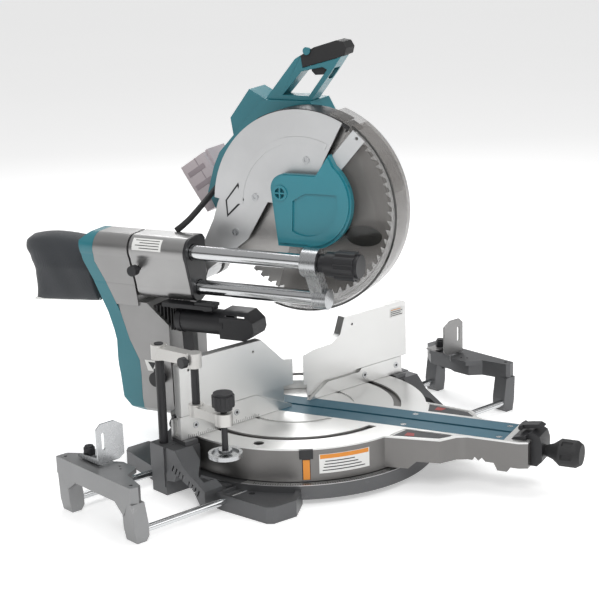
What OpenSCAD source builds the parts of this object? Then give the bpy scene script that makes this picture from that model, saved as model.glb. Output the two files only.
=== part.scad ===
/* [Table] */
// Height of the table surface above the floor
table_z = 90; // [88:0.5:92]
// Radius of the turntable
table_r = 218; // [214:1:220]
// Mitre angle of the rest pose, grip end to the right
rest_mitre = 22.5; // [0:0.5:30]
// Half width of the pair of kerf boards
kerf_half = 39; // [34:1:39]
// Distance from the pivot to the front end of the kerf boards
kerf_reach = 381; // [370:1:385]
// Half length of the base bolt pattern, left to right
bolt_x = 208; // [204:1:212]
// Half length of the base bolt pattern, front to back
bolt_y = 122; // [120:1:126]

/* [Fence] */
// Top of the sliding fences above the floor
fence_top = 221.5; // [215:0.5:222]
// Thickness of a sliding fence
fence_t = 16; // [14:0.5:16]

/* [Head] */
// Radius of the saw blade
blade_r = 152.5; // [150:0.5:152.5]
// Blade arbor, distance in front of the turntable pivot with the head up
arbor_front = 26; // [24:1:28]
// Blade arbor height with the head up
arbor_z = 437.5; // [434:0.5:440]
// Chop hinge, distance behind the turntable pivot
hinge_back = 180; // [178:1:182]
// Chop hinge height
hinge_z = 320; // [318:1:322]
// Outer radius of the lower guard
guard_r = 170; // [169:0.5:171]

/* [Rails] */
// Radius of a slide rail
rail_r = 12.5; // [12:0.5:12.5]
// Upper rail, distance left of the blade
rail_up_x = 88; // [87:0.5:89]
// Upper rail height
rail_up_z = 366; // [364:1:368]
// Lower rail, distance left of the blade
rail_low_x = 68; // [67:0.5:69]
// Lower rail height
rail_low_z = 302; // [300:1:303]

/* [Holders] */
// Distance from the pivot to the outer face of a side holder
holder_out = 431; // [425:1:440]
// Radius of a holder rod
rod_r = 6; // [5:0.5:6]

/* [Hidden] */
$fn = 64;
fit = 0.05;

// the parts that turn with the table are drawn at zero mitre and turned here
module mitred() rotate([0, 0, rest_mitre]) children();
// draws its child from a side view: first axis to the front, second up, third to the left
module side_view() rotate([90, 0, -90]) children();
// the same view with its origin on the blade arbor
module at_arbor() translate([0, -arbor_front, arbor_z]) side_view() children();
// a plate of outline (y, z), from x0 to x1
module plate_yz(x0, x1) translate([x0, 0, 0]) rotate([90, 0, 90]) linear_extrude(x1 - x0) children();
// a plate of outline (x, z), from y0 to y1
module plate_xz(y0, y1) translate([0, y1, 0]) rotate([90, 0, 0]) linear_extrude(y1 - y0) children();
module plate_xy(z0, z1) translate([0, 0, z0]) linear_extrude(z1 - z0) children();
module rod_x(x0, x1, y, z, r) translate([x0, y, z]) rotate([0, 90, 0]) cylinder(h = x1 - x0, r = r);
module rod_y(y0, y1, x, z, r) translate([x, y0, z]) rotate([-90, 0, 0]) cylinder(h = y1 - y0, r = r);
module rod_z(z0, z1, x, y, r) translate([x, y, z0]) cylinder(h = z1 - z0, r = r);
module block(x0, x1, y0, y1, z0, z1) translate([x0, y0, z0]) cube([x1 - x0, y1 - y0, z1 - z0]);
module ring(z0, z1, r0, r1) translate([0, 0, z0]) difference() {
    cylinder(h = z1 - z0, r = r1, $fn = 128);
    translate([0, 0, -1]) cylinder(h = z1 - z0 + 2, r = r0, $fn = 128);
}
module both_sides() {
    children();
    mirror([1, 0, 0]) children();
}

// ---- base ----
rod_front_y = -105;
rod_rear_y = 75;
rod_z = 17;
post_x = -264;
post_y = 30;
post_r = 7.5;

module foot_outline() polygon([[-253, -84], [-253, -100], [-238, -192], [-230, -200],
    [-186, -203], [-146, -172], [-168, -92]]);
module wing_outline() polygon([[24, 44], [24, 83], [-14, 83], [-36, 60], [-88, 34], [-88, 8],
    [-74, 8], [-58, 28], [-10, 44]]);
module base_half() {
    difference() {
        union() {
            // front foot with a raised rim
            plate_xy(0, 22) foot_outline();
            plate_xy(0, 27) difference() {
                foot_outline();
                polygon([[-246, -92], [-246, -102], [-232, -187], [-188, -195], [-158, -170],
                    [-176, -92]]);
            }
            rod_y(-94, -86, -210, rod_z - 3, 9);
            // rear foot
            plate_xy(0, 25) polygon([[-256, 44], [-256, 60], [-238, 176], [-228, 186],
                [-184, 186], [-170, 120], [-196, 60], [-214, 44]]);
            // side wing that carries the fence end
            plate_yz(-276, -240) wing_outline();
            block(-276, -222, -14, 24, 44, 83);
            plate_yz(-276, -266) polygon([[24, 12], [24, 50], [-20, 50], [-10, 30], [10, 26]]);
            block(-276, -222, 12, 50, 0, 60);
            block(-250, -222, -10, 24, 60, table_z);
            block(-230, -205, -84, 60, 10, 30);
            // pad of the fence end
            block(-250, -222, -3, 26, 70, table_z);
            // block that takes the post of the vise
            block(-279, -250, 12, 48, 40, 84);
            block(-278, -270, 14, 46, 14, 44);
        }
        // grip slots along the lower edge of the wing
        for (k = [0 : 7])
            translate([-277, -6 - 8 * k - (k > 3 ? 8 : 0), 46 - 3.2 * k - (k > 3 ? 3 : 0)])
                rotate([28, 0, 0]) cube([9, 3, 12]);
    }
}
module base_casting() color("dimgray") difference() {
    union() {
        ring(10, 33, 203, 233);
        ring(10, 30, 70, 203.5);
        ring(10, 36.5, 12 + fit, 70.5);
        intersection() {
            both_sides() base_half();
            difference() {
                block(-300, 300, -210, 190, 0, 91);
                translate([0, 0, 34.3]) cylinder(h = 80, r = 225, $fn = 128);
            }
        }
    }
    // openings in the floor web
    for (a = [30 : 60 : 330]) rotate([0, 0, a]) translate([140, 0, 5])
        cylinder(h = 30, r = 38);
    both_sides() {
        // relief for the arm of the turntable at full mitre
        plate_xy(34.4, 95) polygon([[-200, -12], [-232, -24], [-264, -58], [-264, -72],
            [-200, -72]]);
        // bolt holes
        rod_z(-1, 40, -bolt_x, -bolt_y, 5);
        rod_z(-1, 40, -bolt_x, bolt_y, 5);
        // sockets of the holder rods
        rod_x(-300, -100, rod_front_y, rod_z, rod_r + fit);
        rod_x(-300, -100, rod_rear_y, rod_z, rod_r + fit);
        // socket of the vise post
        rod_z(50, 92, post_x, post_y, post_r + fit);
    }
}
module mitre_scale() color("silver") difference() {
    ring(33, 34, 219.5, 232.5);
    // degree marks across the front
    for (a = [-60 : 5 : 60]) rotate([0, 0, a])
        translate([-0.35, -231, 33.6]) cube([0.7, a % 15 == 0 ? 9 : 5, 1]);
    translate([-240, -98, 32]) cube([480, 340, 4]);
}
module turntable_pivot_bolt() color("gray") {
    cylinder(h = 68, r = 12);
    translate([0, 0, 4]) cylinder(h = 5.9, r = 22);
}

// ---- fences ----
low_fence_top = 129;
low_fence_top_right = 120;
tongue_y = 8;
module lower_fence() color("silver") {
    // front plates with sloping inner ends
    plate_xz(0, tongue_y) polygon([[-250, 90.4], [-14, 90.4], [-14, 94], [-93, low_fence_top],
        [-250, low_fence_top]]);
    plate_xz(0, tongue_y) polygon([[27, 90.4], [250, 90.4], [250, low_fence_top_right],
        [151, low_fence_top_right], [145, 114], [70, 114]]);
    for (s = [[-250, -30], [44, 250]]) {
        block(s[0], s[1], 7.9, 26, 90.4, 95.5);
        block(s[0], s[1], fence_t + 0.5, 26, 95, 120);
    }
    // bow that joins both halves behind the blade
    intersection() {
        ring(90.6, 106, 84, 108);
        block(-120, 120, 20, 120, 80, 120);
    }
}
module sliding_fence_tail(x0, x1) block(x0, x1, tongue_y + 0.3, fence_t, 96, 135);
module left_sliding_fence() color("silver") difference() {
    union() {
        plate_xz(0, fence_t) polygon([[-248, 129.6], [-248, 214], [-240, fence_top],
            [-77, fence_top], [-29, 175.5], [-8, 173], [-8, 129.6]]);
        sliding_fence_tail(-246, -9);
    }
    // relief of the inner end for mitre cuts
    plate_xy(80, 230) polygon([[-8, -1], [-44, 20], [0, 20], [0, -1]]);
    rod_y(-1, 20, -230, 205, 2.2);
    rod_y(-1, 20, -95, 205, 2.2);
}
module right_sliding_fence() color("silver") difference() {
    union() {
        plate_xz(0, fence_t) polygon([[12, 120.6], [262, 120.6], [262, fence_top - 2],
            [256, fence_top], [112, fence_top], [101, 192], [80, 181], [37, 179],
            [12, 173]]);
        sliding_fence_tail(13, 246);
    }
    plate_xy(80, 230) polygon([[12, -1], [48, 20], [0, 20], [0, -1]]);
    rod_y(-1, 20, 246, 205, 2.2);
    rod_y(-1, 20, 130, 205, 2.2);
}
clamp_x = 236;
module fence_clamp(x) color([0.1, 0.1, 0.1]) {
    rod_y(26.3, 30, x, 108, 8);
    rod_y(29.9, 39, x, 108, 9);
    block(x - 4, x + 4, 31, 38, 108, 122);
}
module left_fence_clamp() fence_clamp(-clamp_x);
module right_fence_clamp() fence_clamp(clamp_x);

// ---- side holders, drawn for the left side ----
module holder_cast() difference() {
    union() {
        // deck with a deep outer wall
        block(-holder_out, -holder_out + 8, -104, 86, 62, 90);
        plate_xy(82, 90) polygon([[-431, -108], [-418, -112], [-411, -108], [-400, -60],
            [-372, -44], [-371, -8], [-380, 4], [-384, 60], [-410, 90], [-431, 90]]);
        plate_xy(62, 82.1) difference() {
            polygon([[-431, -108], [-418, -112], [-411, -108], [-400, -60], [-380, -44],
                [-379, -8], [-384, 4], [-388, 60], [-410, 90], [-431, 90]]);
            polygon([[-423, -96], [-416, -96], [-406, -56], [-388, -40], [-388, -8],
                [-396, 56], [-412, 76], [-423, 76]]);
        }
        // front leg
        plate_xz(-112, -84) polygon([[-431, 64], [-429, 20], [-425, 0], [-408, 0], [-402, 8],
            [-402, 26], [-408, 64]]);
        // rear leg
        plate_xz(62, 88) polygon([[-431, 64], [-429, 20], [-425, 0], [-408, 0], [-402, 8],
            [-402, 26], [-408, 64]]);
        // arched skirt between the legs
        plate_yz(-431, -423) polygon([[-100, 64], [-88, 40], [-66, 58], [40, 58], [64, 40],
            [84, 64]]);
        // seat of the stop plate
        rod_z(82, 93, -398, 44, 11);
    }
    // sockets pressed over the rods
    rod_x(-424, -390, rod_front_y, rod_z, rod_r);
    rod_x(-424, -390, rod_rear_y, rod_z, rod_r);
    // screw holes in the deck
    rod_z(70, 100, -398, 44, 4 + fit);
    rod_z(84, 95, -421, -98, 3);
    rod_z(84, 95, -421, 78, 3);
    rod_z(84, 95, -392, -30, 2);
    rod_z(84, 95, -386, -20, 2);
}
module holder_rods() {
    rod_x(-424, -178, rod_front_y, rod_z, rod_r);
    rod_x(-424, -186, rod_rear_y, rod_z, rod_r);
}
module stop_plate() difference() {
    union() {
        block(-412, -372, 32, 56, 93.3, 96.5);
        plate_xz(0, 3.2) polygon([[-412, 93.3], [-412, 150], [-403, 158], [-378, 158],
            [-362, 148], [-362, 100], [-372, 93.3]]);
        block(-412, -402, 0, 34, 93.3, 96.5);
        plate_yz(-412, -408.8) polygon([[0, 93.3], [0, 104], [56, 98], [56, 93.3]]);
    }
    rod_z(90, 100, -398, 44, 4 + fit);
    // tall slot
    block(-403, -397, -5, 8, 118, 140);
    rod_y(-5, 8, -400, 118, 3);
    rod_y(-5, 8, -400, 140, 3);
}
module stop_screw() {
    rod_z(74, 104, -398, 44, 4);
    rod_z(96.6, 108, -398, 44, 9);
    rod_z(108, 111, -398, 44, 7);
}
module left_holder() color("gray") holder_cast();
module left_holder_rods() color("gainsboro") holder_rods();
module left_stop_plate() color("darkgray") stop_plate();
module left_stop_screw() color([0.1, 0.1, 0.1]) stop_screw();
module right_holder() color("dimgray") mirror([1, 0, 0]) holder_cast();
module right_holder_rods() color("gainsboro") mirror([1, 0, 0]) holder_rods();
module right_stop_plate() color("dimgray") mirror([1, 0, 0]) stop_plate();
module right_stop_screw() color([0.1, 0.1, 0.1]) mirror([1, 0, 0]) stop_screw();

// ---- vertical vise ----
drop_x = -250;
drop_y = -43;
drop_r = 6.5;
pad_x = -246;
pad_y = -107;
module vise_post() color([0.08, 0.08, 0.08]) rod_z(52, 252, post_x, post_y, post_r);
module vise_arm() color("silver") difference() {
    union() {
        rod_z(226, 250, post_x, post_y, 13);
        rod_z(224, 248, drop_x, drop_y, 12);
        hull() {
            rod_z(228, 247, post_x, post_y, 11, $fn = 24);
            rod_z(228, 246, drop_x, drop_y, 10, $fn = 24);
        }
    }
    rod_z(220, 256, post_x, post_y, post_r + fit);
    rod_z(220, 242, drop_x, drop_y, drop_r);
    rod_x(drop_x - 20, drop_x, drop_y, 236, 3);
}
module vise_drop_rod() color([0.08, 0.08, 0.08]) rod_z(150, 242, drop_x, drop_y, drop_r);
module vise_lower_arm() color("silver") difference() {
    union() {
        rod_z(144, 164, drop_x, drop_y, 12);
        rod_z(143, 163, pad_x, pad_y, 14);
        hull() {
            rod_z(146, 162, drop_x, drop_y, 10, $fn = 24);
            rod_z(146, 161, pad_x, pad_y, 12, $fn = 24);
        }
    }
    rod_z(150, 170, drop_x, drop_y, drop_r);
    rod_z(140, 170, pad_x, pad_y, 5 + fit);
}
module vise_arm_screw() color([0.1, 0.1, 0.1]) {
    rod_x(drop_x - 18, drop_x - drop_r - 0.2, drop_y, 236, 3);
    rod_x(drop_x - 27, drop_x - 17.9, drop_y, 236, 9);
}
module vise_screw() {
    color("silver") rod_z(98.2, 186, pad_x, pad_y, 5);
    color([0.1, 0.1, 0.1]) difference() {
        union() {
            rod_z(168, 174, pad_x, pad_y, 14);
            rod_z(173.9, 192, pad_x, pad_y, 18);
            rod_z(191.9, 196, pad_x, pad_y, 15.5);
        }
        for (a = [0 : 24 : 336])
            translate([pad_x + 18.6 * cos(a), pad_y + 18.6 * sin(a), 172])
                cylinder(h = 30, r = 1.6, $fn = 16);
        rod_z(160, 187, pad_x, pad_y, 5);
    }
}
module vise_pad() color("silver") difference() {
    union() {
        rod_z(91, 97.8, pad_x, pad_y, 27);
        rod_z(97.7, 103, pad_x, pad_y, 11);
    }
    rod_z(98, 110, pad_x, pad_y, 5 + fit);
    rod_z(94.5, 97.9, pad_x, pad_y, 22);
    rod_z(96, 110, pad_x, pad_y, 4);
}

// ---- turntable ----
arm_end = 421;
module arm_plan() polygon([[-92, -190], [-90, -200], [-76, -288], [-50, -306], [-42, -322],
    [-42, -arm_end + 14], [-36, -arm_end], [36, -arm_end], [42, -arm_end + 14], [42, -322],
    [50, -306], [76, -288], [90, -200], [92, -190]]);
module arm_bottom() polygon([[-180, 37], [-236, 37], [-250, 50], [-330, 50], [-334, 56],
    [-340, 50], [-346, 56], [-352, 50], [-366, 50], [-372, 38], [-388, 38], [-394, 46],
    [-arm_end, 46], [-arm_end, 91], [-180, 91]]);
module turntable() color("lightgray") mitred() difference() {
    union() {
        // round table with its skirt
        difference() {
            ring(35, table_z, 0, table_r);
            translate([0, 0, 34]) cylinder(h = 44, r = table_r - 6, $fn = 128);
        }
        rod_z(37, 80, 0, 0, 34);
        // arm that carries the kerf boards to the front
        intersection() {
            plate_xy(37, table_z) difference() {
                arm_plan();
                polygon([[-86, -180], [-84, -202], [-71, -283], [-45, -301], [-37, -320],
                    [-37, -arm_end + 20], [37, -arm_end + 20], [37, -320], [45, -301],
                    [71, -283], [84, -202], [86, -180]]);
            }
            plate_yz(-120, 120) arm_bottom();
        }
        plate_xy(80, table_z) arm_plan();
        // trough under the slot
        block(-18, 18, -arm_end + 4, 176, 58, 82);
        // pivot boss of the bevel joint
        intersection() {
            rod_y(146, 187, 0, table_z, 46);
            block(-60, 60, 140, 190, 40, 140);
        }
        block(-60, 60, 140, 187, 37, 84);
    }
    // flat back, behind the pivot boss
    block(-230, 230, 187, 230, 30, 240);
    // centre bore
    translate([0, 0, 30]) cylinder(h = 42, r = 12 + fit);
    // recess of the kerf boards and slot for the blade
    block(-kerf_half - 0.4, kerf_half + 0.4, -kerf_reach - 0.4, 120, table_z - 3, 100);
    block(-8, 8, -kerf_reach + 6, 112, 66, 100);
    // two ring grooves in the table
    difference() {
        ring(table_z - 5, 100, 163, 176);
        block(-52, 52, -230, 230, 80, 110);
    }
    difference() {
        ring(table_z - 2, 100, 88, 96);
        block(-44, 44, -230, 230, 80, 110);
    }
    rod_z(70, 100, -194.4, -24.9, 8.5);
    rod_z(70, 100, 194.4, -24.9, 8.5);
    // bore of the bevel pivot
    rod_y(140, 190, 0, table_z, 14);
    // screw holes under the kerf boards
    for (y = kerf_screw_y) both_sides() rod_z(70, 100, 27, y, 2.6);
    // hole of the lever shaft
    rod_y(-arm_end - 1, -360, 0, 67, 7 + fit);
    // side pads
    both_sides() plate_xy(table_z - 1.2, 100) polygon([[-86, -204], [-47, -216], [-47, -298],
        [-52, -300], [-71, -284]]);
}
kerf_screw_y = [-370, -205, 96];
module kerf_boards() color("cadetblue") mitred() both_sides() difference() {
    block(3.5, kerf_half, -kerf_reach, 119.6, table_z - 2.9, table_z);
    for (y = kerf_screw_y) {
        rod_z(70, 100, 27, y, 2.6);
        rod_z(table_z - 1.6, 100, 27, y, 5.2);
    }
    block(0, 3.6, -kerf_reach + 6, 130, 80, 100);
}
module kerf_board_screws() color("silver") mitred() for (y = kerf_screw_y) both_sides() {
    difference() {
        union() {
            rod_z(table_z - 10, table_z - 1, 27, y, 2.6);
            rod_z(table_z - 1.6, table_z - 0.3, 27, y, 5.1);
        }
        block(26.4, 27.6, y - 4, y + 4, table_z - 0.9, 100);
    }
}
pointer_a = -150.8;
module mitre_pointer() color([0.12, 0.12, 0.12]) mitred() rotate([0, 0, pointer_a]) {
    block(table_r + 0.2, table_r + 5, -11, 11, 74, table_z - 0.5);
    block(table_r + 0.2, table_r + 2.4, -6.5, 6.5, 38, 74.1);
}
module bevel_pivot_pin() color("gray") mitred() rod_y(150, 262, 0, table_z, 14);
module dust_hood() color([0.14, 0.14, 0.15]) mitred() difference() {
    intersection() {
        union() {
            rod_y(86, 172, -70, 245, 21.5);
            rod_y(172, 182, -70, 245, 23);
            plate_yz(-92, -44) polygon([[32, 240], [34, 254], [50, 268], [96, 268], [96, 222.5],
                [50, 222.5], [36, 230]]);
            rod_y(90, 96, -70, 245, 23);
            // post that stands on the table
            plate_xz(163, 184) polygon([[-62, table_z], [-47, table_z], [-47, 150], [-50, 235],
                [-66, 235], [-60, 150]]);
        }
        rod_y(20, 190, 0, table_z, 192, $fn = 128);
    }
    // open mouth, and the way through to the rear
    plate_yz(-88, -43) polygon([[38, 240], [40, 252], [52, 262], [88, 262], [88, 226],
        [54, 226], [40, 234]]);
    rod_y(80, 190, -70, 245, 18.5);
}
module mitre_lever_housing() color([0.1, 0.1, 0.1]) mitred() difference() {
    union() {
        plate_yz(-22, 22) polygon([[-arm_end + 6, 90.2], [-arm_end + 6, 98], [-arm_end - 1, 102],
            [-arm_end - 14, 96], [-arm_end - 18, 84], [-arm_end - 18, 54],
            [-arm_end - 10, 46], [-arm_end - 0.2, 46], [-arm_end - 0.2, 90.2]]);
        plate_yz(-30, 30) polygon([[-arm_end + 30, 90.2], [-arm_end + 26, 94],
            [-arm_end + 6, 98], [-arm_end + 5.9, 90.2]]);
    }
    rod_y(-450, -415, 0, 67, 8.2);
}
module mitre_grip() color([0.07, 0.07, 0.07]) mitred() {
    rod_y(-arm_end - 30, -370, 0, 67, 7);
    translate([0, -498, 67]) rotate([-90, 0, 0]) difference() {
        rotate_extrude() polygon([[0, 0], [17, 0], [22, 8], [22, 34], [13, 46], [9, 57.5], [0, 57.5]]);
        for (a = [0 : 60 : 300]) rotate([0, 0, a]) translate([25, 0, 12])
            cylinder(h = 18, r = 6);
    }
}
module mitre_latch_lever() color([0.09, 0.09, 0.09]) mitred() {
    rod_x(-14, 14, -arm_end + 20, 104, 4);
    plate_yz(-9, 9) polygon([[-arm_end + 24, 101], [-arm_end + 24, 107], [-arm_end + 8, 110],
        [-arm_end - 8, 112], [-arm_end - 16, 108], [-arm_end - 8, 106], [-arm_end + 8, 103]]);
}

// ---- bevelling arm ----
arm_front = 200;
carriage_front = 148;
carriage_back = 252;
module rail_box() {
    translate([-rail_up_x, rail_up_z]) circle(r = 24);
    translate([-rail_low_x, rail_low_z]) circle(r = 24);
    polygon([[-rail_up_x - 24, rail_up_z], [-rail_low_x - 24, rail_low_z],
        [-rail_low_x, rail_low_z - 24], [-44, rail_low_z - 17], [-44, rail_up_z + 16],
        [-52, rail_up_z + 24], [-rail_up_x, rail_up_z + 24]]);
}
module arm_casting() color("darkgray") mitred() difference() {
    union() {
        // lower column around the bevel joint
        intersection() {
            plate_yz(-81, 46) polygon([[arm_front, 66], [arm_front, 232], [242, 268], [256, 268],
                [256, 262], [300, 262], [280, 200], [262, 164], [262, 66]]);
            plate_xz(150, 350) polygon([[-64, 68], [-74, 76], [-78, 96], [-78, 136], [-81, 165],
                [-81, 270], [46, 270], [46, 130], [40, 74], [28, 66]]);
        }
        rod_y(188, 262, 0, table_z, 44);
        // upper housing around the rear ends of the rails
        intersection() {
            plate_xz(carriage_back + 4, 330) union() {
                rail_box();
                polygon([[-92, 300], [-80, 240], [46, 240], [46, 300], [20, 340], [-50, 380]]);
            }
            plate_yz(-120, 50) polygon([[carriage_back + 4, 262], [carriage_back + 4, 400],
                [320, 400], [327, 340], [300, 262]]);
        }
    }
    // bores of the rails and of the bevel pivot
    rod_y(150, 400, -rail_up_x, rail_up_z, rail_r);
    rod_y(150, 400, -rail_low_x, rail_low_z, rail_r);
    rod_y(180, 270, 0, table_z, 14 + fit);
    // seam along the side
    block(-115, -110, carriage_back, 340, rail_up_z - 17, rail_up_z - 15.4);
    // hollow behind the front wall
    block(-70, 36, arm_front + 8, 254, 150, 236);
    rod_x(-90, -70, 222, 138, 4);
}
module arm_rear_cover() color("teal") mitred() difference() {
    intersection() {
        union() {
            plate_xz(250, 360) union() {
                rail_box();
                polygon([[-92, 300], [-80, 240], [46, 240], [46, 300], [20, 340], [-50, 380]]);
            }
            plate_xz(250, 360) polygon([[-64, 68], [-74, 76], [-78, 96], [-78, 136], [-81, 165],
                [-81, 270], [46, 270], [46, 130], [40, 74], [28, 66]]);
        }
        plate_yz(-120, 50) polygon([[262.3, 66], [262.3, 163.8], [280.3, 200], [300.3, 262],
            [327.3, 340], [320.3, 400], [338, 388], [352, 376], [350, 340], [330, 276],
            [310, 214], [306, 196], [306, 150], [300, 92], [286, 74]]);
    }
    rod_y(250, 344, -rail_up_x, rail_up_z, rail_r);
    rod_y(250, 344, -rail_low_x, rail_low_z, rail_r);
    rod_y(250, 400, -40, 320, 21);
}
module slide_rails() color("gainsboro") mitred() for (p = [[-rail_up_x, rail_up_z],
        [-rail_low_x, rail_low_z]]) difference() {
    rod_y(-84, 340, p[0], p[1], rail_r);
    rod_y(-90, 350, p[0], p[1], rail_r - 3);
}
module rail_front_clamp() color("silver") mitred() difference() {
    union() {
        rod_y(-92, -64, -rail_up_x, rail_up_z, 24);
        rod_y(-96, -72, -rail_low_x, rail_low_z, 17);
        plate_xz(-90, -68) polygon([[-rail_up_x - 13, rail_up_z - 14],
            [-rail_up_x + 12, rail_up_z - 14], [-rail_low_x + 12, rail_low_z + 10],
            [-rail_low_x - 12, rail_low_z + 10]]);
    }
    rod_y(-100, -60, -rail_up_x, rail_up_z, rail_r);
    rod_y(-84, -60, -rail_low_x, rail_low_z, rail_r);
}
module bevel_lock_knob() color([0.08, 0.08, 0.08]) mitred() {
    // lock shaft that enters the upper rail
    rod_y(-112, -76, -rail_up_x, rail_up_z, 6);
    difference() {
        union() {
            rod_y(-104, -92.5, -rail_up_x, rail_up_z, 15);
            rod_y(-122, -103.9, -rail_up_x, rail_up_z, 20);
            rod_y(-156, -121.9, -rail_up_x, rail_up_z, 24);
            rod_y(-162, -155.9, -rail_up_x, rail_up_z, 19);
        }
        for (a = [0 : 40 : 320]) translate([-rail_up_x, 0, rail_up_z]) rotate([0, a, 0])
            translate([0, 0, 26]) rod_y(-164, -118, 0, 0, 5, $fn = 24);
        rod_y(-111, -90, -rail_up_x, rail_up_z, 6);
    }
}
module bevel_stop_knob() color([0.1, 0.1, 0.1]) mitred() {
    rod_x(-88, -71, 222, 138, 3.95);
    rod_x(-98, -81.3, 222, 138, 13);
    block(-96, -88, 218, 226, 138, 156);
}
// folded rubber duct between the hood and the arm
module dust_duct() color([0.07, 0.07, 0.07]) mitred() {
    plate_yz(-72, -36) polygon([[184, 230], [184, 262], [234, 262], [199.4, 231.6], [199.4, 230]]);
    for (y = [184 : 5 : 194]) plate_xz(y, y + 2.4) polygon([[-80, 224.5], [-80, 266],
        [-32, 266], [-32, 224.5]]);
    intersection() {
        for (y = [201 : 7 : 222]) plate_xz(y, y + 2.4) polygon([[-79, 224], [-79, 266],
            [-32, 266], [-32, 224]]);
        plate_yz(-80, -30) polygon([[190, 225.6], [190, 266], [238, 266]]);
    }
}
module dust_bag() color("darkslategray") mitred() difference() {
    plate_yz(-78, -8) polygon([[366, 352], [372, 368], [450, 372],
        [482, 376], [496, 362], [497, 340], [484, 318], [470, 262], [456, 258],
        [400, 262], [362, 268], [360, 300]]);
    rod_y(350, 380, -40, 320, 20.5);
}

// ---- carriage on the rails ----
module carriage() color("silver") mitred() difference() {
    union() {
        plate_xz(carriage_front, carriage_back) rail_box();
        // cross beam and ears of the chop hinge
        block(-46, 62, 214, carriage_back, 292, 346);
        rod_x(-46, -24, hinge_back, hinge_z, 26);
        block(-46, -24, hinge_back, 226, 294, 346);
        rod_x(42, 62, hinge_back, hinge_z, 26);
        block(42, 62, hinge_back, 226, 294, 346);
    }
    rod_y(140, 260, -rail_up_x, rail_up_z, rail_r + 4);
    rod_y(140, 260, -rail_low_x, rail_low_z, rail_r + 4);
    rod_x(-50, 70, hinge_back, hinge_z, 9);
    // seam and screw hole
    block(-115, -110, carriage_front - 1, 260, rail_up_z - 17, rail_up_z - 15.4);
    rod_x(-115, -98, 240, 334, 4 + fit);
}
module carriage_end_cover() color([0.1, 0.1, 0.1]) mitred() difference() {
    plate_xz(carriage_front - 5, carriage_front - 0.1) rail_box();
    rod_y(120, 160, -rail_up_x, rail_up_z, rail_r + 0.8);
    rod_y(120, 160, -rail_low_x, rail_low_z, rail_r + 0.8);
}
module slide_lock_screw() color([0.1, 0.1, 0.1]) mitred() {
    rod_x(-118, -98.5, 240, 334, 4);
    rod_x(-126, -113, 240, 334, 9);
}
module linear_bearings() color("gray") mitred() for (p = [[-rail_up_x, rail_up_z],
        [-rail_low_x, rail_low_z]]) for (y = [carriage_front + 2, carriage_back - 34])
    difference() {
        rod_y(y, y + 32, p[0], p[1], rail_r + 4);
        rod_y(y - 1, y + 33, p[0], p[1], rail_r + fit);
    }
module depth_stop() color([0.2, 0.2, 0.2]) mitred() {
    // swing-out stop under the lower bearing
    block(-100, -78, 104, 200, 271, 277.8);
    block(-98, -80, 100, 138, 277.7, 283);
    rod_z(268.5, 271.1, -89, 118, 8);
    rod_z(268.5, 271.1, -89, 180, 8);
}
module cable_guard() color([0.08, 0.08, 0.08]) mitred() {
    plate_yz(-50, -38) polygon([[196, 391], [180, 391], [162, 404], [142, 426], [120, 452],
        [104, 474], [102, 486], [112, 490], [128, 466], [150, 436], [174, 412], [194, 400]]);
    block(-49, -17.6, 100, 112, 466, 478);
}

// ---- head ----
module case_outline(r) {
    intersection() {
        circle(r = r, $fn = 128);
        polygon([[0, 0], [90, 169], [90, 200], [-220, 200], [-220, 20], [-150, 6],
            [-62, 6]]);
    }
    circle(r = 44);
}
hinge_a = -(hinge_back + arbor_front);
hinge_b = hinge_z - arbor_z;
module neck_outline() {
    polygon([[-140, 30], [-156, 0], [-166, -30], [-186, -70], [hinge_a - 24, hinge_b + 8],
        [hinge_a - 20, hinge_b - 14], [hinge_a + 10, hinge_b - 23], [hinge_a + 27, hinge_b],
        [-150, -96], [-102, -60], [-62, 6], [-80, 30]]);
    translate([hinge_a, hinge_b]) circle(r = 25);
}
module blade_case() color("gainsboro") mitred() difference() {
    at_arbor() difference() {
        union() {
            translate([0, 0, -32]) linear_extrude(49.5) case_outline(162);
            translate([0, 0, -32]) linear_extrude(49.5) neck_outline();
            // raised rib that follows the rim
            translate([0, 0, 17.4]) linear_extrude(1.2) intersection() {
                difference() {
                    circle(r = 118, $fn = 128);
                    circle(r = 108, $fn = 128);
                }
                polygon([[0, 0], [60, 130], [-200, 130], [-200, 0]]);
            }
        }
        translate([0, 0, -29.5]) cylinder(h = 44.5, r = 157, $fn = 128);
    }
    rod_x(-40, 60, hinge_back, hinge_z, 9 + fit);
    rod_x(-30, 60, -arbor_front, arbor_z, 22);
}
module case_screws() color("gray") mitred() at_arbor() for (p = [[-85, 13], [-124, -49],
        [11, 80]]) translate([p[0], p[1], 17.5]) difference() {
    cylinder(h = 2, r = 6);
    translate([0, 0, 0.8]) cylinder(h = 3, r = 3, $fn = 6);
}
module case_bracket() color([0.1, 0.1, 0.1]) mitred() at_arbor() translate([0, 0, -26])
    linear_extrude(44) intersection() {
        difference() {
            circle(r = 161.8, $fn = 128);
            circle(r = 157.2, $fn = 128);
        }
        polygon([[0, 0], [94, 173], [150, 200], [114, 156]]);
    }
module head_hinge_pin() color("gray") mitred() rod_x(-45, 61, hinge_back, hinge_z, 9);
housing_x = 38.5;
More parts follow.
